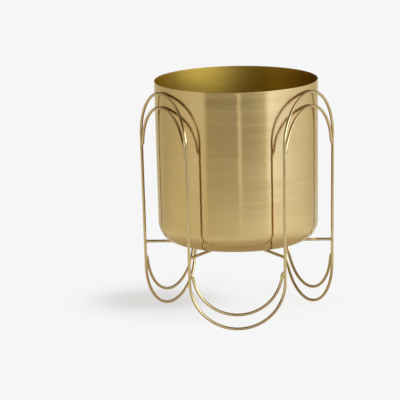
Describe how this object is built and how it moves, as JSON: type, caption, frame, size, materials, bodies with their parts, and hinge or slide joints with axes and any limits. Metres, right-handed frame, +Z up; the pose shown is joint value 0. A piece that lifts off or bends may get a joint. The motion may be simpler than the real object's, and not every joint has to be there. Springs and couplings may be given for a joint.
{
  "type": "planter on legs",
  "caption": "Round metal plant pot with a rounded base, standing loose in a wire stand of tall arches and foot bows.",
  "frame": {"origin": "on the floor under the middle of the stand", "axes": "+Z up; -Y is the front, where two legs and the front foot bows face the viewer"},
  "size_m": [0.2378, 0.2071, 0.291],
  "materials": {
    "pot": "brushed round the pot, satin inside",
    "wire": "satin, pale gold"
  },
  "bodies": {
    "stand": {"arch_wire_left": "wire", "arch_wire_right": "wire", "arch_wire_rear": "wire", "inner_arch_left": "wire", "inner_arch_right": "wire", "inner_arch_rear": "wire", "foot_bow_front": "wire", "foot_bow_rear_left": "wire", "foot_bow_rear_right": "wire", "inner_bow_front": "wire", "inner_bow_rear_left": "wire", "inner_bow_rear_right": "wire", "spoke_left": "wire", "spoke_front_left": "wire", "spoke_front_right": "wire", "spoke_right": "wire", "spoke_rear_right": "wire", "spoke_rear_left": "wire", "hub_ring": "wire"},
    "pot": {"pot": "pot"}
  },
  "joints": [
    {"name": "pot_lift", "type": "slide", "parent": "stand", "child": "pot", "axis": [0, 0, 1], "range_m": [0, 0.22]}
  ]
}
